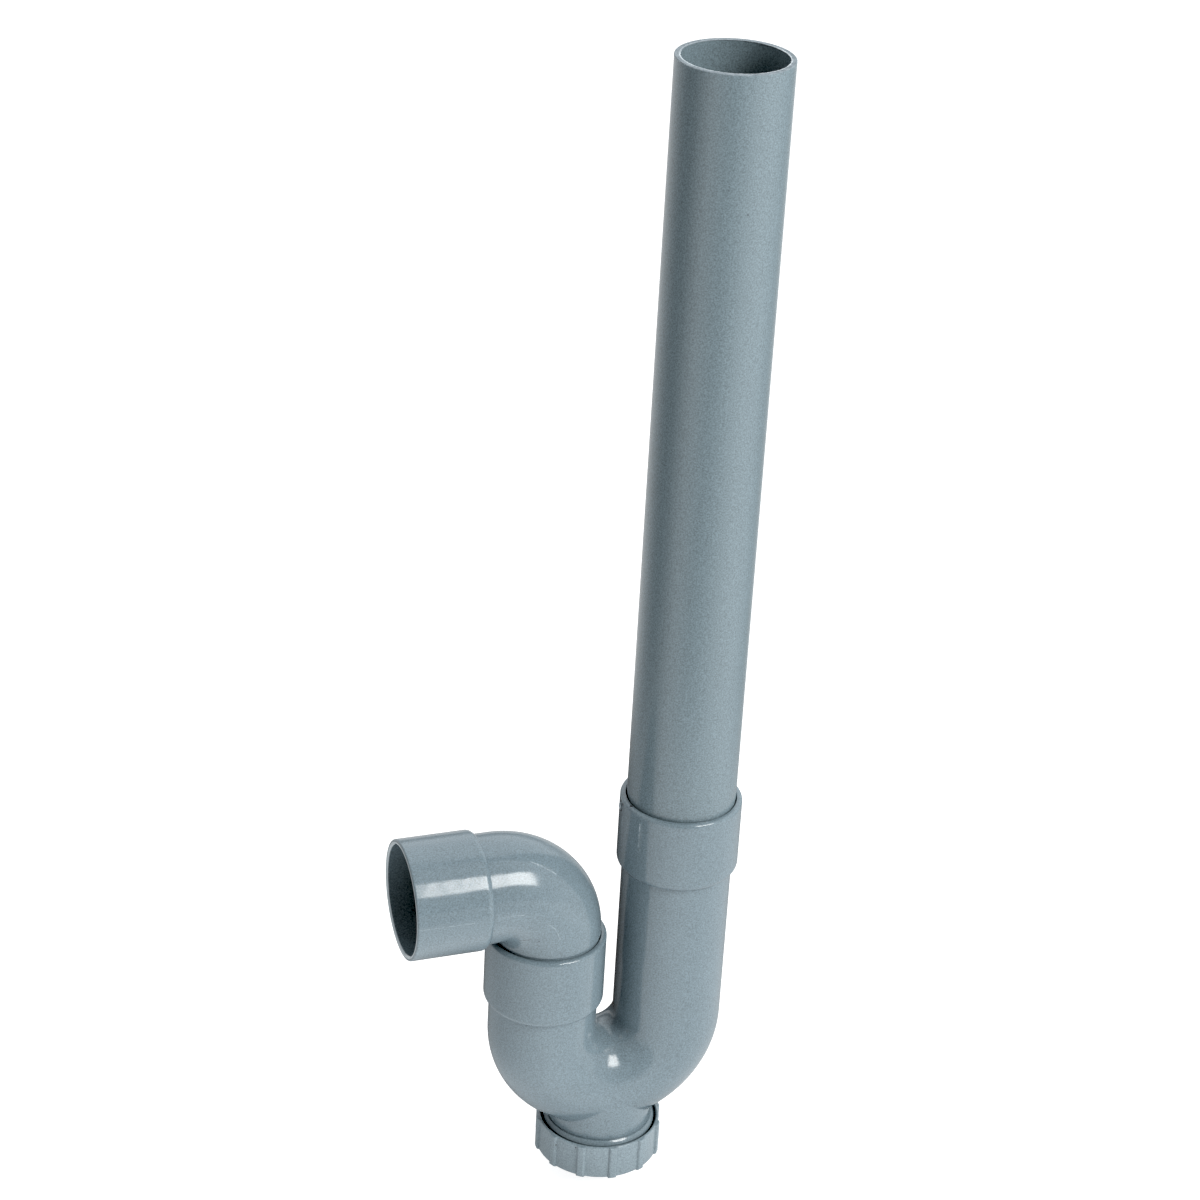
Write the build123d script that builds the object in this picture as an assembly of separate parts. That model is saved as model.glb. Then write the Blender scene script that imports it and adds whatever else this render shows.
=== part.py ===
from build123d import *
import math
import os

# Washing machine trap for 40 mm waste pipe: a standpipe stands in one socket of a moulded
# U bend, a 90 degree outlet elbow turns in the other, and a ribbed screw cap closes the
# cleaning neck under the bend.
# Frame: X from the outlet leg to the standpipe leg, Z up, Y across. The origin is the
# centre of the cleaning cap's underside. Millimetres.

# pipe
pipe_r = 20.0            # 40 mm outside diameter
pipe_wall = 1.9
pipe_top_z = 431.5

# trap body
leg_spacing = 49.74      # between the two leg axes
leg_r = 20.29            # outside of legs and bend
leg_bore_r = 18.0
bend_z = 59.11           # centre of the half ring
bend_radius = leg_spacing / 2

# sockets
socket_r = 22.44         # outside
socket_bore_r = 20.2
socket_depth = 25.0
socket_length = 26.3     # outside cylinder, from rim to shoulder
shoulder_round = 2.6
rim_round = 1.2
lead_in = 0.3            # chamfer in the mouth
inlet_rim_z = 153.0
outlet_rim_z = 101.56

# outlet elbow
elbow_r = 20.24
elbow_bore_r = 17.9
elbow_bend_radius = 20.5
elbow_axis_z = 123.68    # axis of the horizontal run
spigot_r = 20.0
spigot_gap = 0.3         # between the spigot's end and the socket's stop
out_socket_r = 22.15
out_reach = 55.76        # from the outlet leg's axis to the mouth
out_socket_bore_r = 20.2
out_rim_round = 0.56

# cleaning neck
neck_top_r = 20.28
neck_low_r = 19.95
neck_bore_r = 16.9
neck_end_z = 4.5
neck_fillet = 0.9        # where the neck leaves the bend
bead_top_z = 14.9
bead_low_z = 11.9
bead_r = 21.32
bead_slope_r = 20.25     # the bead's sloping top starts here,
bead_slope_z = 13.45     # and ends at this height, on the full radius
bead_groove = 0.25       # depth of the shallow groove above the bead
thread_root_r = 19.5     # core of the outside thread, crest radius 20.95, pitch 2.309

# screw cap
cap_r = 23.45            # between the ribs
cap_rib_r = 24.3
cap_height = 13.95
cap_floor = 2.2
cap_thread_r = 21.15     # root of the inside thread
cap_mouth_r = 22.5
cap_mouth_depth = 1.9
cap_ribs = 12
cap_rib_turn = -4.1      # direction of the first rib, degrees
cap_edge = 0.5
gasket_r = 20.9
gasket_bore_r = 16.6

right = leg_spacing / 2
left = -leg_spacing / 2


def turned(outline, x=0.0):
    """A solid of revolution about the vertical line at x, from (radius, z) points. A third
    value k on a point makes the step to the next point a bulging arc of that radius."""
    edges = []
    n = len(outline)
    for i in range(n):
        a, b = outline[i], outline[(i + 1) % n]
        p, q = (a[0], 0, a[1]), (b[0], 0, b[1])
        if len(a) > 2:
            edges.append(ThreePointArc(p, (a[2], 0, a[3]), q))
        else:
            edges.append(Line(p, q))
    face = make_face(edges)
    return Pos(x, 0, 0) * revolve(face, axis=Axis.Z, revolution_arc=360)


def quarter(cx, cz, r, a):
    """The middle point of an arc about (cx, cz), at angle a."""
    return cx + r * math.cos(math.radians(a)), cz + r * math.sin(math.radians(a))


def socket_outline(rim, outer, tube):
    """Outline of a socket that opens upwards: rounded rim, cylinder, rounded shoulder."""
    c_rim = (outer - rim_round, rim - rim_round)
    c_sh = (outer - shoulder_round, rim - socket_length)
    turn = math.degrees(math.acos((tube - c_sh[0]) / shoulder_round))
    low = c_sh[1] - shoulder_round * math.sin(math.radians(turn))
    return [
        (0, rim),
        (outer - rim_round, rim, *quarter(*c_rim, rim_round, 45)),
        (outer, rim - rim_round),
        (outer, rim - socket_length, *quarter(*c_sh, shoulder_round, -turn / 2)),
        (tube, low),
        (tube, low - 2.0),
        (0, low - 2.0),
    ], low


def socket_room(rim, bore, deep):
    """What the pipe end occupies: the bore with its lead-in chamfer."""
    return [
        (0, rim + 1.0),
        (bore + lead_in + 0.001, rim + 1.0),
        (bore + lead_in, rim),
        (bore, rim - lead_in * 1.1),
        (bore, rim - deep),
        (0, rim - deep),
    ]


def half_ring(r):
    """The U: a half turn of a round bar between the legs, under bend_z."""
    disc = Pos(right, 0, bend_z) * Circle(r)
    return revolve(disc, axis=Axis((0, 0, bend_z), (0, 1, 0)), revolution_arc=180)


def bar(x, z0, z1, r):
    return Pos(x, 0, (z0 + z1) / 2) * Cylinder(r, z1 - z0)


# ---------------------------------------------------------------- trap body
inlet_outline, inlet_low = socket_outline(inlet_rim_z, socket_r, leg_r)
outlet_outline, outlet_low = socket_outline(outlet_rim_z, socket_r, leg_r)

neck = turned([
    (0, bend_z - bend_radius),
    (neck_top_r, bend_z - bend_radius),
    (neck_low_r, bead_top_z + 0.7),
    (neck_low_r - bead_groove, bead_top_z + 0.45),
    (neck_low_r - bead_groove, bead_top_z),
    (bead_slope_r, bead_top_z, (bead_slope_r + bead_r) / 2 + 0.065, (bead_top_z + bead_slope_z) / 2 + 0.048),
    (bead_r, bead_slope_z),
    (bead_r, bead_low_z + 0.2),
    (bead_r - 0.2, bead_low_z),
    (thread_root_r, bead_low_z),
    (thread_root_r, neck_end_z + 0.4),
    (thread_root_r - 0.4, neck_end_z),
    (0, neck_end_z),
])

outer = half_ring(leg_r) + neck
creases = [e for e in outer.edges() if e.length > 50 and 25 < e.center().Z < 40 and abs(e.center().Y) > 15]
outer = fillet(creases, neck_fillet)
outer += bar(right, bend_z, inlet_low - 1.0, leg_r)
outer += bar(left, bend_z, outlet_low - 1.0, leg_r)
outer += turned(inlet_outline, right)
outer += turned(outlet_outline, left)

inner = half_ring(leg_bore_r)
inner += bar(right, bend_z, inlet_rim_z - socket_depth + 0.5, leg_bore_r)
inner += bar(left, bend_z, outlet_rim_z - socket_depth + 0.5, leg_bore_r)
inner += turned(socket_room(inlet_rim_z, socket_bore_r, socket_depth), right)
inner += turned(socket_room(outlet_rim_z, socket_bore_r, socket_depth), left)
inner += bar(0, neck_end_z - 1.0, bend_z - bend_radius, neck_bore_r)

trap_body = outer - inner

# ---------------------------------------------------------------- standpipe
pipe_low_z = inlet_rim_z - socket_depth
cut_edge = 0.2
pipe_bore_r = pipe_r - pipe_wall
standpipe = turned([
    (pipe_bore_r + 0.4, pipe_low_z),
    (pipe_r - 0.8, pipe_low_z),
    (pipe_r, pipe_low_z + 1.6),
    (pipe_r, pipe_top_z - cut_edge),
    (pipe_r - cut_edge, pipe_top_z),
    (pipe_bore_r + cut_edge, pipe_top_z),
    (pipe_bore_r, pipe_top_z - cut_edge),
    (pipe_bore_r, pipe_low_z + 0.4),
], right)

# ---------------------------------------------------------------- outlet elbow
spigot_low_z = outlet_rim_z - socket_depth + spigot_gap
elbow_start_z = elbow_axis_z - elbow_bend_radius
mouth_x = left - out_reach


def elbow_turn(r):
    """A quarter turn of a round bar, from the outlet leg's axis to the horizontal run."""
    disc = Pos(left, 0, elbow_start_z) * Circle(r)
    hinge = Axis((left - elbow_bend_radius, 0, elbow_start_z), (0, -1, 0))
    return revolve(disc, axis=hinge, revolution_arc=90)


def lying(solid):
    """Lays a solid that was turned about Z so that its top faces -X, at the outlet's axis."""
    return Pos(0, 0, elbow_axis_z) * Rot(0, -90, 0) * solid


# the turned outline's height is measured along -X
run_far = out_reach - left
run_near = elbow_bend_radius - left
c_rim = (out_socket_r - out_rim_round, run_far - out_rim_round)
c_sh = (out_socket_r - shoulder_round, run_far - socket_length)
sh_turn = math.degrees(math.acos((elbow_r - c_sh[0]) / shoulder_round))
run_outer = lying(turned([
    (0, run_far),
    (out_socket_r - out_rim_round, run_far, *quarter(*c_rim, out_rim_round, 45)),
    (out_socket_r, run_far - out_rim_round),
    (out_socket_r, run_far - socket_length, *quarter(*c_sh, shoulder_round, -sh_turn / 2)),
    (elbow_r, c_sh[1] - shoulder_round * math.sin(math.radians(sh_turn))),
    (elbow_r, run_near),
    (0, run_near),
]))
run_room = lying(turned([
    (0, run_far + 1.0),
    (out_socket_bore_r + 0.501, run_far + 1.0),
    (out_socket_bore_r + 0.5, run_far),
    (out_socket_bore_r, run_far - 0.6),
    (out_socket_bore_r, run_far - socket_depth),
    (elbow_bore_r, run_far - socket_depth),
    (elbow_bore_r, run_near),
    (0, run_near),
]))
step_z = outlet_rim_z + 0.6
riser_outer = turned([
    (0, spigot_low_z),
    (spigot_r - 0.8, spigot_low_z),
    (spigot_r, spigot_low_z + 1.6),
    (spigot_r, step_z),
    (elbow_r, step_z + 0.3),
    (elbow_r, elbow_start_z),
    (0, elbow_start_z),
], left)
riser_room = bar(left, spigot_low_z - 1.0, elbow_start_z, elbow_bore_r)
outlet_elbow = (riser_outer + elbow_turn(elbow_r) + run_outer) - (
    riser_room + elbow_turn(elbow_bore_r) + run_room
)

# ---------------------------------------------------------------- screw cap
def cap_skin(r):
    """A round block of the cap's height with softened outer edges."""
    e = cap_edge
    return turned([
        (0, 0),
        (r - e, 0, *quarter(r - e, e, e, -45)),
        (r, e),
        (r, cap_height - e, *quarter(r - e, cap_height - e, e, 45)),
        (r - e, cap_height),
        (0, cap_height),
    ])


rib_plan = make_face(Polyline(
    (22.6, -1.75), (cap_r - 0.02, -1.7), (cap_rib_r - 0.28, -1.34), (cap_rib_r - 0.02, -0.98),
    (cap_rib_r + 0.2, -0.9), (cap_rib_r + 0.2, 0.9),
    (cap_rib_r - 0.02, 0.98), (cap_rib_r - 0.28, 1.34), (cap_r - 0.02, 1.7), (22.6, 1.75),
    close=True,
))
rib_bar = extrude(rib_plan, amount=cap_height + 2)
rib_bar = Pos(0, 0, -1) * rib_bar
rib = rib_bar & cap_skin(cap_rib_r)
cleanout_cap = cap_skin(cap_r)
for k in range(cap_ribs):
    cleanout_cap += Rot(0, 0, cap_rib_turn + k * 360 / cap_ribs) * rib
cleanout_cap -= turned([
    (0, cap_floor),
    (cap_thread_r, cap_floor),
    (cap_thread_r, cap_height - cap_mouth_depth - 0.6),
    (cap_mouth_r - 0.3, cap_height - cap_mouth_depth),
    (cap_mouth_r - 0.3, cap_height - 0.5),
    (cap_mouth_r + 0.1, cap_height),
    (cap_mouth_r + 0.1, cap_height + 1),
    (0, cap_height + 1),
])

# ---------------------------------------------------------------- sealing ring
g = 0.3
cap_gasket = turned([
    (gasket_bore_r + g, cap_floor),
    (gasket_r - g, cap_floor),
    (gasket_r, cap_floor + g),
    (gasket_r, neck_end_z - g),
    (gasket_r - g, neck_end_z),
    (gasket_bore_r + g, neck_end_z),
    (gasket_bore_r, neck_end_z - g),
    (gasket_bore_r, cap_floor + g),
])

parts = {
    "trap_body": trap_body,
    "standpipe": standpipe,
    "outlet_elbow": outlet_elbow,
    "cleanout_cap": cleanout_cap,
    "cap_gasket": cap_gasket,
}
os.makedirs("parts", exist_ok=True)
for name, shape in parts.items():
    solids = shape.solids()
    solid = solids[0] if len(solids) == 1 else Compound(children=list(solids))
    export_step(solid, f"parts/{name}.step")
    print(name, len(solids), "solid", round(shape.volume), "mm3")
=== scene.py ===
import math
import random

import bmesh
import bpy
from mathutils import Matrix, Vector


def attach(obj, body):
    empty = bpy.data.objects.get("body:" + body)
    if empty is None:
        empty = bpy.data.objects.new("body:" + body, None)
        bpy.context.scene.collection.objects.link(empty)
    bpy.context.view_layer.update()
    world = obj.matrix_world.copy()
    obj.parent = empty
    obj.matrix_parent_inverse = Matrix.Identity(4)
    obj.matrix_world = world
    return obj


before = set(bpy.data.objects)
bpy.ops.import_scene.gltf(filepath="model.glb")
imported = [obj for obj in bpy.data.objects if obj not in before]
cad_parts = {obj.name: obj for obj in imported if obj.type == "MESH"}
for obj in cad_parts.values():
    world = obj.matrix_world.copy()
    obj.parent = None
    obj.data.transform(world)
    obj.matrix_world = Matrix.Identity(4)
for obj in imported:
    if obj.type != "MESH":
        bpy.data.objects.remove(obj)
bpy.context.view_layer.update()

# Washing machine trap: blue-grey moulded fittings, a satin standpipe with a saw-cut end, and a
# ribbed screw cap. Metres, in the frame of the model: X from the outlet leg to the standpipe
# leg, Z up, origin at the centre of the cap's underside.

scene = bpy.context.scene
scene.view_settings.view_transform = "Standard"
scene.view_settings.look = "None"
scene.view_settings.use_curve_mapping = True
curve = scene.view_settings.curve_mapping
curve.black_level = (0.034, 0.045, 0.053)
curve.white_level = (1.0, 1.0, 1.0)
curve.update()
MM = 0.001


# ------------------------------------------------------------------ node helpers
class Nodes:
    """Short spelling for building a node tree."""

    def __init__(self, tree):
        self.tree = tree
        self.tree.nodes.clear()

    def add(self, kind, **settings):
        node = self.tree.nodes.new(kind)
        for key, value in settings.items():
            setattr(node, key, value)
        return node

    def put(self, value, socket):
        if isinstance(value, bpy.types.NodeSocket):
            self.tree.links.new(value, socket)
        else:
            socket.default_value = value

    def math(self, operation, a, b=None, c=None, clamp=False):
        node = self.add("ShaderNodeMath", operation=operation, use_clamp=clamp)
        for value, socket in zip((a, b, c), node.inputs):
            if value is not None:
                self.put(value, socket)
        return node.outputs[0]

    def vec(self, operation, a, b=None):
        node = self.add("ShaderNodeVectorMath", operation=operation)
        self.put(a, node.inputs[0])
        if b is not None:
            self.put(b, node.inputs[1])
        return node.outputs["Value"] if operation in ("LENGTH", "DOT_PRODUCT", "DISTANCE") else node.outputs[0]

    def scale(self, a, s):
        node = self.add("ShaderNodeVectorMath", operation="SCALE")
        self.put(a, node.inputs[0])
        self.put(s, node.inputs["Scale"])
        return node.outputs[0]

    def noise(self, vector, scale, detail=2.0, rough=0.5):
        node = self.add("ShaderNodeTexNoise")
        self.put(vector, node.inputs["Vector"])
        node.inputs["Scale"].default_value = scale
        node.inputs["Detail"].default_value = detail
        node.inputs["Roughness"].default_value = rough
        return node.outputs[0]

    def ramp(self, value, low, high, out_low=0.0, out_high=1.0, smooth=True):
        node = self.add("ShaderNodeMapRange", interpolation_type="SMOOTHSTEP" if smooth else "LINEAR")
        self.put(value, node.inputs[0])
        for i, v in enumerate((low, high, out_low, out_high)):
            node.inputs[1 + i].default_value = v
        return node.outputs[0]

    def mix(self, factor, a, b):
        node = self.add("ShaderNodeMix", data_type="RGBA")
        self.put(factor, node.inputs[0])
        self.put(a, node.inputs[6])
        self.put(b, node.inputs[7])
        return node.outputs[2]

    def object_point(self):
        return self.add("ShaderNodeTexCoord").outputs["Object"]

    def segment(self, point, a, b, width, soft=0.5):
        """1 on the line from a to b (millimetres), fading to 0 at half the width from it."""
        a, b = Vector(a) * MM, Vector(b) * MM
        ab = b - a
        ap = self.vec("SUBTRACT", point, a)
        along = self.math("MULTIPLY", self.vec("DOT_PRODUCT", ap, ab), 1 / ab.length_squared, clamp=True)
        off = self.vec("LENGTH", self.vec("SUBTRACT", ap, self.scale(ab, along)))
        half = width * MM / 2
        return self.ramp(off, half * (1 - soft), half, 1.0, 0.0)

    def path(self, point, stops, width, share):
        """A line through several points, share of full strength."""
        line = self.most([self.segment(point, a, b, width) for a, b in zip(stops, stops[1:])])
        return self.math("MULTIPLY", line, share)

    def lobe(self, x, y, azimuth, power):
        """A smooth bump round one compass direction of the unit vector (x, y)."""
        a = math.radians(azimuth)
        toward = self.math("ADD", self.math("MULTIPLY", x, math.sin(a)), self.math("MULTIPLY", y, -math.cos(a)))
        return self.math("POWER", self.math("MAXIMUM", toward, 0.0), power)

    def total(self, start, terms):
        for value, weight in terms:
            start = self.math("MULTIPLY_ADD", value, weight, start)
        return start

    def spot(self, point, at, radius, wobble=None):
        """1 near a point (millimetres), fading to 0 at the radius, with an uneven outline."""
        off = self.vec("LENGTH", self.vec("SUBTRACT", point, Vector(at) * MM))
        if wobble is not None:
            off = self.math("MULTIPLY", off, wobble)
        return self.ramp(off, radius * MM * 0.55, radius * MM, 1.0, 0.0)

    def most(self, values):
        total = values[0]
        for v in values[1:]:
            total = self.math("MAXIMUM", total, v)
        return total

    def bump(self, height, distance, strength=1.0, normal=None):
        node = self.add("ShaderNodeBump")
        node.inputs["Strength"].default_value = strength
        node.inputs["Distance"].default_value = distance
        self.put(height, node.inputs["Height"])
        if normal is not None:
            self.put(normal, node.inputs["Normal"])
        return node.outputs[0]


def material(name):
    m = bpy.data.materials.new(name)
    m.use_nodes = True
    n = Nodes(m.node_tree)
    shader = n.add("ShaderNodeBsdfPrincipled")
    out = n.add("ShaderNodeOutputMaterial")
    m.node_tree.links.new(shader.outputs[0], out.inputs["Surface"])
    return m, n, shader


def tint(colour, k):
    return (colour[0] * k, colour[1] * k, colour[2] * k, 1.0)


# ------------------------------------------------------------------ materials
FITTING = (0.184, 0.241, 0.273)
PIPE = (0.183, 0.240, 0.269)
CAP = (0.230, 0.291, 0.324)
PALE = (0.50, 0.575, 0.62, 1.0)


def moulded(name, colour, rough, marks=(), specks=(), peel=1.0, more=None, depth=0.6, dark_lines=()):
    """Glossy injection-moulded plastic: even colour with a faint cloudiness, a very fine orange
    peel, a slow waviness in the gloss, handling smears, light mould lines and scuffs, painted
    highlight streaks and dark specks, some of them painted shade."""
    m, n, s = material(name)
    p = n.object_point()
    cloud = n.noise(p, 55.0, 3.0, 0.55)
    grain = n.noise(p, 1900.0, 1.5, 0.6)
    shade = n.math("ADD", n.ramp(cloud, 0.3, 0.7, -0.018, 0.018, smooth=False), n.ramp(grain, 0.3, 0.7, -0.20, 0.20, smooth=False))
    base = n.mix(n.math("ADD", shade, 0.5, clamp=True), tint(colour, 0.5), tint(colour, 1.5))
    wobble = n.ramp(n.noise(p, 2600.0, 1.0), 0.25, 0.75, 0.6, 1.5, smooth=False)
    scuffs_and_glints = None
    # pale marks: mould lines and scuffs, and painted highlight streaks where the marks list holds them
    if marks:
        scuffs_and_glints = n.most([n.path(p, stops, width, share) for stops, width, share in marks])
        scuffs_and_glints = n.math("MULTIPLY", scuffs_and_glints, n.ramp(n.noise(p, 520.0, 2.0, 0.7), 0.36, 0.58, 0.15, 1.0))
        base = n.mix(scuffs_and_glints, base, PALE)
    # dark specks, some of them painted shade
    if specks:
        dark = n.most([n.spot(p, at, r, wobble) for at, r in specks])
        base = n.mix(n.math("MULTIPLY", dark, depth), base, (0.03, 0.036, 0.044, 1.0))
    if dark_lines:
        dark_line_mask = n.most([n.path(p, stops, width, share) for stops, width, share in dark_lines])
        dark_line_mask = n.math("MULTIPLY", dark_line_mask, n.ramp(n.noise(p, 900.0, 2.0, 0.7), 0.38, 0.56, 0.1, 1.0))
        base = n.mix(dark_line_mask, base, (0.055, 0.065, 0.075, 1.0))
    if more is not None:
        base = more(n, p, base)
    n.put(base, s.inputs["Base Color"])
    smear = n.noise(n.vec("MULTIPLY", p, (1.0, 1.0, 0.45)), 85.0, 4.0, 0.62)
    gloss = n.ramp(smear, 0.35, 0.68, rough * 0.88, rough * 1.22)
    gloss = n.math("ADD", gloss, n.ramp(grain, 0.3, 0.7, -0.012, 0.012, smooth=False))
    if scuffs_and_glints is not None:
        gloss = n.math("MULTIPLY_ADD", scuffs_and_glints, 0.25, gloss)
    n.put(gloss, s.inputs["Roughness"])
    s.inputs["IOR"].default_value = 1.5
    fine = n.bump(grain, 0.000012 * peel)
    wave = n.bump(n.noise(p, 120.0, 1.5, 0.4), 0.00009, normal=fine)
    if scuffs_and_glints is not None:
        wave = n.bump(scuffs_and_glints, 0.00005, normal=wave)
    n.put(wave, s.inputs["Normal"])
    return m


def mouth_rim_highlight(n, p, base):
    """The outlet's mouth: a painted highlight, a pale line along the rim's inner edge."""
    parts = n.add("ShaderNodeSeparateXYZ")
    n.put(p, parts.inputs[0])
    x, y = parts.outputs[0], parts.outputs[1]
    z = n.math("SUBTRACT", parts.outputs[2], 0.12368)
    radius = n.math("SQRT", n.math("ADD", n.math("MULTIPLY", y, y), n.math("MULTIPLY", z, z)))
    uneven = n.ramp(n.noise(p, 300.0, 2.0, 0.6), 0.3, 0.7, -0.00008, 0.00008, smooth=False)
    radius = n.math("ADD", radius, uneven)
    # painted highlight: the pale line on the rim's inner edge stands in for light caught there
    edge = n.math("MULTIPLY", n.ramp(x, -0.0803, -0.0800, 1.0, 0.0), n.ramp(radius, 0.0211, 0.0213, 1.0, 0.0))
    return n.mix(n.math("MULTIPLY", edge, 0.8), base, (0.60, 0.67, 0.70, 1.0))


def extruded(name, colour, specks=()):
    """Extruded pipe: fine mottling, faint die lines along its length, and a pale sawn end with
    saw marks, a bright inner edge and ragged spots."""
    m, n, s = material(name)
    p = n.object_point()
    axis_x = 24.87 * MM
    parts = n.add("ShaderNodeSeparateXYZ")
    n.put(p, parts.inputs[0])
    x = n.math("SUBTRACT", parts.outputs[0], axis_x)
    y, z = parts.outputs[1], parts.outputs[2]
    lines = n.add("ShaderNodeCombineXYZ")
    n.put(x, lines.inputs[0])
    n.put(y, lines.inputs[1])
    n.put(n.math("MULTIPLY", z, 0.012), lines.inputs[2])
    die = n.noise(lines.outputs[0], 1500.0, 2.0, 0.6)
    mottle = n.noise(p, 1900.0, 1.5, 0.6)
    cloud = n.noise(n.vec("MULTIPLY", p, (1.0, 1.0, 0.3)), 60.0, 3.0, 0.5)
    shade = n.math("ADD", n.ramp(mottle, 0.3, 0.7, -0.22, 0.22, smooth=False), n.ramp(die, 0.3, 0.7, -0.012, 0.012, smooth=False))
    shade = n.math("ADD", shade, n.ramp(cloud, 0.3, 0.7, -0.016, 0.016, smooth=False))
    base = n.mix(n.math("ADD", shade, 0.5, clamp=True), tint(colour, 0.5), tint(colour, 1.5))
    wobble = n.ramp(n.noise(p, 2600.0, 1.0), 0.25, 0.75, 0.6, 1.5, smooth=False)
    if specks:
        dark = n.most([n.spot(p, at, r, wobble) for at, r in specks])
        base = n.mix(n.math("MULTIPLY", dark, 0.55), base, (0.03, 0.036, 0.042, 1.0))
    ragged = n.ramp(n.noise(p, 900.0, 3.0, 0.7), 0.3, 0.7, -0.00024, 0.00018, smooth=False)
    cut = n.ramp(n.math("ADD", z, ragged), 0.43112, 0.43138, 0.0, 1.0)
    radius = n.math("SQRT", n.math("ADD", n.math("MULTIPLY", x, x), n.math("MULTIPLY", y, y)))
    inner = n.ramp(n.math("ADD", radius, n.math("MULTIPLY", ragged, 0.9)), 0.01828, 0.01848, 1.0, 0.0)
    chatter = n.noise(p, 650.0, 3.0, 0.7)
    sawn = n.mix(n.ramp(chatter, 0.35, 0.65), (0.17, 0.218, 0.246, 1.0), (0.29, 0.345, 0.38, 1.0))
    toward = n.ramp(y, 0.002, 0.012, 1.0, 0.30)
    sawn = n.mix(n.math("MULTIPLY", inner, toward), sawn, (0.66, 0.73, 0.77, 1.0))
    base = n.mix(cut, base, sawn)
    n.put(base, s.inputs["Base Color"])
    gloss = n.ramp(n.noise(p, 75.0, 3.0, 0.6), 0.3, 0.7, 0.15, 0.20, smooth=False)
    gloss = n.math("MULTIPLY_ADD", cut, 0.35, gloss)
    n.put(gloss, s.inputs["Roughness"])
    s.inputs["IOR"].default_value = 1.5
    fine = n.bump(mottle, 0.00003)
    long_lines = n.bump(die, 0.000012, normal=fine)
    kerf = n.add("ShaderNodeTexWave", wave_type="BANDS", bands_direction="X")
    n.put(p, kerf.inputs["Vector"])
    kerf.inputs["Scale"].default_value = 620.0
    kerf.inputs["Distortion"].default_value = 3.0
    kerf.inputs["Detail"].default_value = 2.0
    saw = n.bump(n.math("MULTIPLY", kerf.outputs[1], cut), 0.00009, normal=long_lines)
    n.put(saw, s.inputs["Normal"])
    return m


def raw_edge(name):
    """Torn plastic of the saw burr: paler than the pipe and matt."""
    m, n, s = material(name)
    p = n.object_point()
    torn = n.noise(p, 1400.0, 3.0, 0.7)
    parts = n.add("ShaderNodeSeparateXYZ")
    n.put(p, parts.inputs[0])
    toward = n.ramp(parts.outputs[1], 0.002, 0.012, 0.0, 1.0)
    near = n.mix(n.ramp(torn, 0.3, 0.7), (0.50, 0.565, 0.605, 1.0), (0.76, 0.82, 0.85, 1.0))
    n.put(n.mix(toward, near, (0.24, 0.29, 0.32, 1.0)), s.inputs["Base Color"])
    n.put(n.ramp(torn, 0.3, 0.7, 0.4, 0.6, smooth=False), s.inputs["Roughness"])
    n.put(n.bump(torn, 0.00006), s.inputs["Normal"])
    return m


def broken_gate(name, colour):
    """The broken sprue: the fitting's colour, paler and matt where it tore."""
    m, n, s = material(name)
    p = n.object_point()
    torn = n.noise(p, 1600.0, 3.0, 0.7)
    parts = n.add("ShaderNodeSeparateXYZ")
    n.put(p, parts.inputs[0])
    top = n.ramp(n.math("MULTIPLY_ADD", torn, 0.0004, parts.outputs[0]), 0.00225, 0.00255, 1.0, 0.0)
    n.put(n.mix(top, tint(colour, 0.9), (0.46, 0.52, 0.555, 1.0)), s.inputs["Base Color"])
    n.put(n.ramp(torn, 0.3, 0.7, 0.3, 0.5, smooth=False), s.inputs["Roughness"])
    n.put(n.bump(torn, 0.00005), s.inputs["Normal"])
    return m


def rubber(name):
    """Black sealing ring: matt, with a fine bloom."""
    m, n, s = material(name)
    p = n.object_point()
    bloom = n.noise(p, 300.0, 3.0, 0.6)
    n.put(n.mix(bloom, (0.016, 0.016, 0.018, 1.0), (0.034, 0.034, 0.036, 1.0)), s.inputs["Base Color"])
    n.put(n.ramp(bloom, 0.3, 0.7, 0.55, 0.7, smooth=False), s.inputs["Roughness"])
    n.put(n.bump(n.noise(p, 2000.0, 2.0), 0.00004), s.inputs["Normal"])
    return m


# Light mould lines, scuffs and painted highlight streaks as (points, width, strength), dark
# specks, some of them painted shade, as (point, radius), all in millimetres.
BODY_MARKS = [
    # painted highlight: these two lines are a thin bright vertical streak on the right socket, painted pale
    (((5.10, -10.72, 149.2), (5.14, -10.75, 144.3)), 0.65, 0.85),
    (((5.14, -10.75, 144.3), (5.12, -10.70, 139.0)), 0.5, 0.42),
    (((2.45, 0.35, 147.4), (2.44, -0.1, 140.0), (2.45, -0.47, 132.6)), 0.5, 0.30),
]
ELBOW_MARKS = [
    (((-79.9, -22.1, 124.9), (-59.7, -22.1, 124.7)), 0.5, 0.22),
    (((-48.6, -20.26, 123.9), (-44.5, -20.26, 124.0), (-40.4, -20.26, 123.7)), 0.45, 0.28),
    (((-31.45, -20.26, 118.4), (-30.1, -20.26, 117.2), (-28.68, -20.26, 115.77), (-27.5, -20.26, 113.5), (-26.57, -20.26, 111.07)), 0.5, 0.28),
    (((-35.75, -10.7, 139.58), (-33.23, -11.25, 138.47)), 0.45, 0.40),
    (((-33.23, -11.25, 138.47), (-30.74, -11.92, 136.99)), 0.80, 0.62),
    (((-30.74, -11.92, 136.99), (-28.7, -12.33, 135.7), (-26.7, -12.68, 134.26)), 0.55, 0.42),
]
# partly painted shade: the specks round the gate stub darken the wall beside it
BODY_SPECKS_AND_SHADE = [
    ((2.46, 0.5, 151.3), 0.75), ((2.6, 2.3, 147.9), 0.75), ((2.7, 3.3, 151.2), 0.6), ((4.0, -3.9, 152.95), 0.8),
]
ELBOW_SPECKS = [((-34.04, -18.98, 110.48), 0.36)]
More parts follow.
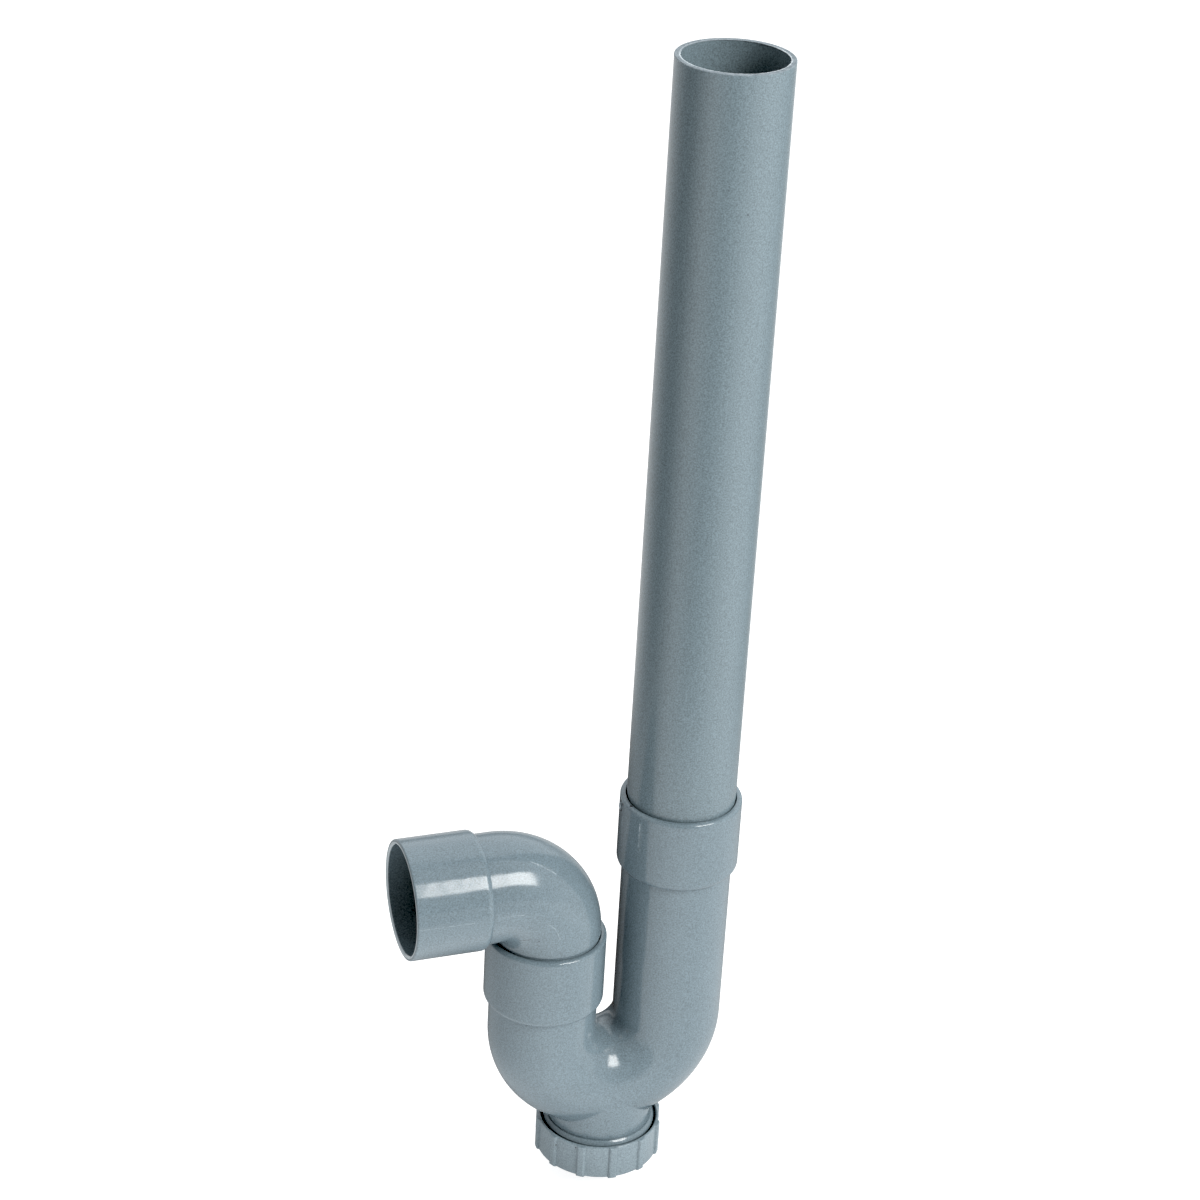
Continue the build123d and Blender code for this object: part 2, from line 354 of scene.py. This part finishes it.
# dark lines across the inner front of the bend
ELBOW_DARK_LINES = [
    (((-41.05, -15.81, 109.76), (-39.18, -17.01, 110.44), (-37.25, -18.01, 110.99)), 0.55, 0.55),
    (((-37.25, -18.01, 110.99), (-33.85, -19.21, 111.43)), 0.45, 0.35),
]
PIPE_SPECKS = [
    ((18.18, -18.82, 394.3), 0.27), ((18.18, -18.82, 392.9), 0.25), ((25.02, -19.98, 384.58), 0.42),
]
CAP_SPECKS = [((-20.71, -11.73, 10.25), 0.45), ((-15.04, -17.99, 12.61), 0.4)]

fitting = moulded("fitting_plastic", FITTING, 0.13, BODY_MARKS, BODY_SPECKS_AND_SHADE, depth=0.9)
elbow_plastic = moulded("elbow_plastic", FITTING, 0.13, ELBOW_MARKS, ELBOW_SPECKS, more=mouth_rim_highlight, dark_lines=ELBOW_DARK_LINES)
cap_plastic = moulded("cap_plastic", CAP, 0.20, (), CAP_SPECKS, peel=1.6)
pipe_plastic = extruded("pipe_plastic", PIPE, PIPE_SPECKS)
seal_rubber = rubber("seal_rubber")
torn_plastic = raw_edge("torn_plastic")
torn_gate = broken_gate("torn_gate", FITTING)


def finish_node(name, m):
    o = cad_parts[name]
    if not o.material_slots:
        o.data.materials.append(m)
    for slot in o.material_slots:
        slot.material = m


finish_node("trap_body", fitting)
finish_node("standpipe", pipe_plastic)
finish_node("outlet_elbow", elbow_plastic)
finish_node("cleanout_cap", cap_plastic)
finish_node("cap_gasket", seal_rubber)


# ------------------------------------------------------------------ added pieces
def solid(name, verts, faces, m, body, smooth=True):
    mesh = bpy.data.meshes.new(name)
    mesh.from_pydata([tuple(c * MM for c in v) for v in verts], [], faces)
    mesh.validate()
    b = bmesh.new()
    b.from_mesh(mesh)
    bmesh.ops.remove_doubles(b, verts=b.verts, dist=1e-7)
    bmesh.ops.recalc_face_normals(b, faces=b.faces)
    b.to_mesh(mesh)
    b.free()
    for f in mesh.polygons:
        f.use_smooth = smooth
    mesh.materials.append(m)
    o = bpy.data.objects.new(name, mesh)
    scene.collection.objects.link(o)
    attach(o, body)
    return o


PITCH = 2.309


def thread(name, root, crest, z_low, z_high, phase, m, body):
    """One right-hand helical ridge with rounded flanks, run out at both ends. root is buried a
    little in the wall that carries it."""
    sign = 1 if crest > root else -1
    depth = abs(crest - root)
    outline = []                       # (across the ridge, share of the depth)
    for across, share in ((-0.86, -0.08), (-0.70, 0.12), (-0.30, 0.86), (-0.15, 1.0), (0.15, 1.0), (0.30, 0.86), (0.70, 0.12), (0.86, -0.08)):
        outline.append((across, share))
    per_turn = 144
    turns = (z_high - z_low) / PITCH
    count = int(turns * per_turn)
    verts, faces = [], []
    for i in range(count + 1):
        t = i / per_turn
        a = 2 * math.pi * t + phase
        z = z_low + PITCH * t
        run = min(t, turns - t) / 0.12
        fade = min(1.0, max(0.02, run))
        fade = fade * fade * (3 - 2 * fade)
        for across, share in outline:
            d = share * depth * (fade if share > 0 else 1.0)
            r = root + sign * d
            verts.append((r * math.cos(a), r * math.sin(a), z + across * (0.45 + 0.55 * fade)))
    k = len(outline)
    for i in range(count):
        for j in range(k):
            a, b = i * k + j, i * k + (j + 1) % k
            faces.append((a, b, b + k, a + k))
    faces.append(tuple(range(k)))
    faces.append(tuple(count * k + j for j in reversed(range(k))))
    return solid(name, verts, faces, m, body)


thread("neck_thread", 19.5, 20.93, 5.45, 11.75, 0.0, fitting, "trap")
start = 6.3
thread("cap_thread", 21.15, 19.78, start, 10.9, 2 * math.pi * (start - 5.45 - PITCH / 2) / PITCH, cap_plastic, "cap")


def saw_burr(name, m, body):
    """A thin torn lip left by the saw along the pipe's inner edge, ragged towards the bore."""
    rng = random.Random(5)
    count = 1080
    coarse = [rng.random() for _ in range(90)]
    fine = [rng.random() for _ in range(360)]

    def wave(values, t):
        f = t * len(values)
        i = int(f)
        k = f - i
        k = k * k * (3 - 2 * k)
        return values[i % len(values)] * (1 - k) + values[(i + 1) % len(values)] * k

    verts, faces = [], []
    for i in range(count):
        t = i / count
        a = 2 * math.pi * t
        reach = 0.06 + 0.20 * wave(coarse, t) ** 2 + 0.22 * wave(fine, t) ** 3
        drop = 0.05 + 0.16 * wave(fine, (t + 0.37) % 1.0)
        for r, z in ((18.36, 431.48), (18.10 - reach, 431.46 - 0.3 * drop), (18.10 - reach * 0.7, 431.40 - drop), (18.16, 431.12), (18.5, 431.2)):
            verts.append((24.87 + r * math.cos(a), r * math.sin(a), z))
    for i in range(count):
        j = (i + 1) % count
        for k in range(5):
            q = (k + 1) % 5
            faces.append((i * 5 + k, i * 5 + q, j * 5 + q, j * 5 + k))
    return solid(name, verts, faces, m, body)


def gate_stub(name, centre, outward, radius, height, m, body):
    """The torn stub that a broken sprue leaves on the wall: an uneven low button."""
    rng = random.Random(11)
    out_way = Vector(outward).normalized()
    side = out_way.cross(Vector((0, 0, 1))).normalized()
    rise = side.cross(out_way).normalized()
    rings = ((1.0, -0.25), (0.98, 0.10), (0.86, 0.55), (0.72, 0.85), (0.45, 0.78), (0.2, 0.95))
    around = 28
    verts, faces = [], []
    lump = [1 + 0.22 * (rng.random() - 0.5) for _ in range(around)]
    for k, (share, up_share) in enumerate(rings):
        for i in range(around):
            a = 2 * math.pi * i / around
            r = radius * share * (lump[i] + lump[i - 1]) / 2
            h = height * (up_share + (0.18 * (rng.random() - 0.5) if k > 1 else 0.0))
            verts.append(tuple(Vector(centre) + side * r * math.cos(a) + rise * r * math.sin(a) * 1.15 + out_way * h))
    verts.append(tuple(Vector(centre) + out_way * height * 0.9))
    verts.append(tuple(Vector(centre) - out_way * height * 0.3))
    top, low = len(verts) - 2, len(verts) - 1
    for k in range(len(rings) - 1):
        for i in range(around):
            j = (i + 1) % around
            faces.append((k * around + i, k * around + j, (k + 1) * around + j, (k + 1) * around + i))
    last = (len(rings) - 1) * around
    for i in range(around):
        j = (i + 1) % around
        faces.append((last + i, last + j, top))
        faces.append((j, i, low))
    return solid(name, verts, faces, m, body)


saw_burr("saw_burr", torn_plastic, "trap")
gate_stub("gate_stub", (2.64, 2.9, 149.4), (-0.99, 0.13, 0.0), 1.2, 0.8, torn_gate, "trap")


# ------------------------------------------------------------------ floor and light
def floor():
    """Pale floor, just under the lowest reach of the unscrewed cap. Directly it is even and
    nearly white; in reflections and as a source of bounced light it glows as a painted lit
    sheet round the part, with painted shadow behind the part and a darker room beyond it."""
    mesh = bpy.data.meshes.new("floor")
    r, z = 30.0, -8.0 * MM
    mesh.from_pydata([(-r, -r, z), (r, -r, z), (r, r, z), (-r, r, z)], [], [(0, 1, 2, 3)])
    o = bpy.data.objects.new("floor", mesh)
    scene.collection.objects.link(o)
    m = bpy.data.materials.new("floor_paper")
    m.use_nodes = True
    m.cycles.emission_sampling = "NONE"
    n = Nodes(m.node_tree)
    seen = n.add("ShaderNodeLightPath").outputs["Is Camera Ray"]
    pale = n.add("ShaderNodeBsdfDiffuse")
    pale.inputs[0].default_value = (0.42, 0.422, 0.424, 1.0)
    lift = n.add("ShaderNodeEmission")
    lift.inputs[1].default_value = 0.87
    direct = n.add("ShaderNodeAddShader")
    m.node_tree.links.new(pale.outputs[0], direct.inputs[0])
    m.node_tree.links.new(lift.outputs[0], direct.inputs[1])

    parts = n.add("ShaderNodeSeparateXYZ")
    n.put(n.object_point(), parts.inputs[0])
    x, y = parts.outputs[0], parts.outputs[1]
    away = n.math("SQRT", n.math("ADD", n.math("MULTIPLY", x, x), n.math("MULTIPLY", y, y)))
    safe = n.math("MAXIMUM", away, 0.06)
    x, y = n.math("DIVIDE", x, safe), n.math("DIVIDE", y, safe)
    # painted shadow: the glow is dimmed behind the part, where its shadow falls
    behind = n.lobe(x, y, 176, 6.0)
    near = n.total(0.14, [
        (n.lobe(x, y, -50, 1.5), 1.25), (n.lobe(x, y, 45, 1.0), 0.82),
        (n.lobe(x, y, -132, 12.0), 0.25), (behind, -0.14),
    ])
    far = n.total(0.02, [
        (n.lobe(x, y, 45, 3.0), 1.50), (n.lobe(x, y, -60, 8.0), 1.25),
        (n.lobe(x, y, -155, 6.0), 0.80), (n.lobe(x, y, 150, 6.0), 0.70),
    ])
    beyond = n.ramp(away, 0.24, 0.44)
    glow = n.math("ADD", n.math("MULTIPLY", near, n.math("SUBTRACT", 1.0, beyond)), n.math("MULTIPLY", far, beyond))
    bounce = n.add("ShaderNodeEmission")
    bounce.inputs[0].default_value = (0.985, 1.0, 1.01, 1.0)
    n.put(glow, bounce.inputs[1])
    sheet = n.add("ShaderNodeBsdfDiffuse")
    # the sheet darkens beyond the lit patch and, as painted shadow, behind the part
    dim = n.math("MAXIMUM", beyond, n.math("MULTIPLY", behind, 0.8))
    n.put(n.mix(dim, (0.20, 0.202, 0.204, 1.0), (0.03, 0.03, 0.03, 1.0)), sheet.inputs[0])
    indirect = n.add("ShaderNodeAddShader")
    m.node_tree.links.new(bounce.outputs[0], indirect.inputs[0])
    m.node_tree.links.new(sheet.outputs[0], indirect.inputs[1])

    pick = n.add("ShaderNodeMixShader")
    n.put(seen, pick.inputs[0])
    m.node_tree.links.new(indirect.outputs[0], pick.inputs[1])
    m.node_tree.links.new(direct.outputs[0], pick.inputs[2])
    out = n.add("ShaderNodeOutputMaterial")
    m.node_tree.links.new(pick.outputs[0], out.inputs["Surface"])
    mesh.materials.append(m)
    return o


floor()


def studio():
    """Soft light from all round: brightest on the right, weaker behind and on the left, dim in
    front. Seen directly it is white."""
    world = bpy.data.worlds.new("studio")
    scene.world = world
    world.use_nodes = True
    n = Nodes(world.node_tree)
    seen = n.add("ShaderNodeLightPath").outputs["Is Camera Ray"]
    parts = n.add("ShaderNodeSeparateXYZ")
    n.put(n.add("ShaderNodeTexCoord").outputs["Generated"], parts.inputs[0])
    x, y, z = parts.outputs
    flat = n.math("MAXIMUM", n.math("SQRT", n.math("ADD", n.math("MULTIPLY", x, x), n.math("MULTIPLY", y, y))), 0.35)
    x, y = n.math("DIVIDE", x, flat), n.math("DIVIDE", y, flat)
    raised = n.math("MULTIPLY", n.ramp(z, 0.08, 0.38), n.lobe(x, y, 165, 2.0))
    level = n.total(0.18, [
        (n.lobe(x, y, 75, 2.0), 0.98), (raised, 1.15), (n.lobe(x, y, 180, 2.0), 0.18),
        (n.lobe(x, y, -90, 2.0), 0.48), (n.math("MULTIPLY", z, z), 0.06),
    ])
    soft = n.add("ShaderNodeBackground")
    soft.inputs[0].default_value = (0.97, 1.0, 1.03, 1.0)
    n.put(level, soft.inputs[1])
    white = n.add("ShaderNodeBackground")
    white.inputs[0].default_value = (1.0, 1.0, 1.0, 1.0)
    white.inputs[1].default_value = 1.05
    pick = n.add("ShaderNodeMixShader")
    n.put(seen, pick.inputs[0])
    world.node_tree.links.new(soft.outputs[0], pick.inputs[1])
    world.node_tree.links.new(white.outputs[0], pick.inputs[2])
    out = n.add("ShaderNodeOutputWorld")
    world.node_tree.links.new(pick.outputs[0], out.inputs["Surface"])


studio()


def softbox(name, azimuth, elevation, distance, width, height, radiance, target=(0.0, 0.0, 0.13), colour=(1.0, 1.0, 1.0), roll=0.0):
    """A soft oblong light. Azimuth is from -Y towards +X, seen from the target."""
    a, e = math.radians(azimuth), math.radians(elevation)
    away = Vector((math.sin(a) * math.cos(e), -math.cos(a) * math.cos(e), math.sin(e)))
    data = bpy.data.lights.new(name, "AREA")
    data.shape = "RECTANGLE"
    data.size, data.size_y = width, height
    data.energy = radiance * math.pi * width * height
    data.color = colour
    o = bpy.data.objects.new(name, data)
    scene.collection.objects.link(o)
    o.location = Vector(target) + away * distance
    o.rotation_mode = "QUATERNION"
    o.rotation_quaternion = (-away).to_track_quat("-Z", "Y") @ Matrix.Rotation(math.radians(roll), 4, "Z").to_quaternion()
    o.visible_camera = False
    return o


softbox("key", 32.0, 40.0, 1.6, 0.72, 0.69, 13.0, colour=(1.0, 0.985, 0.96), roll=-23.4)

# ------------------------------------------------------------------ camera
camera_data = bpy.data.cameras.new("camera")
camera = bpy.data.objects.new("camera", camera_data)
scene.collection.objects.link(camera)
right = Vector((0.94579902, -0.32081833, 0.05039656))
up = Vector((0.10691757, 0.45414413, 0.88448954))
forward = Vector((0.30664776, 0.83116106, -0.46383019))
place = Vector((-0.33023228, -0.86488947, 0.72010016))
camera.matrix_world = Matrix((
    (right.x, up.x, -forward.x, place.x),
    (right.y, up.y, -forward.y, place.y),
    (right.z, up.z, -forward.z, place.z),
    (0, 0, 0, 1),
))
camera_data.sensor_width = 36.0
camera_data.lens = 89.3832365
camera_data.clip_start = 0.01
camera_data.clip_end = 100.0
scene.camera = camera

bpy.context.view_layer.update()
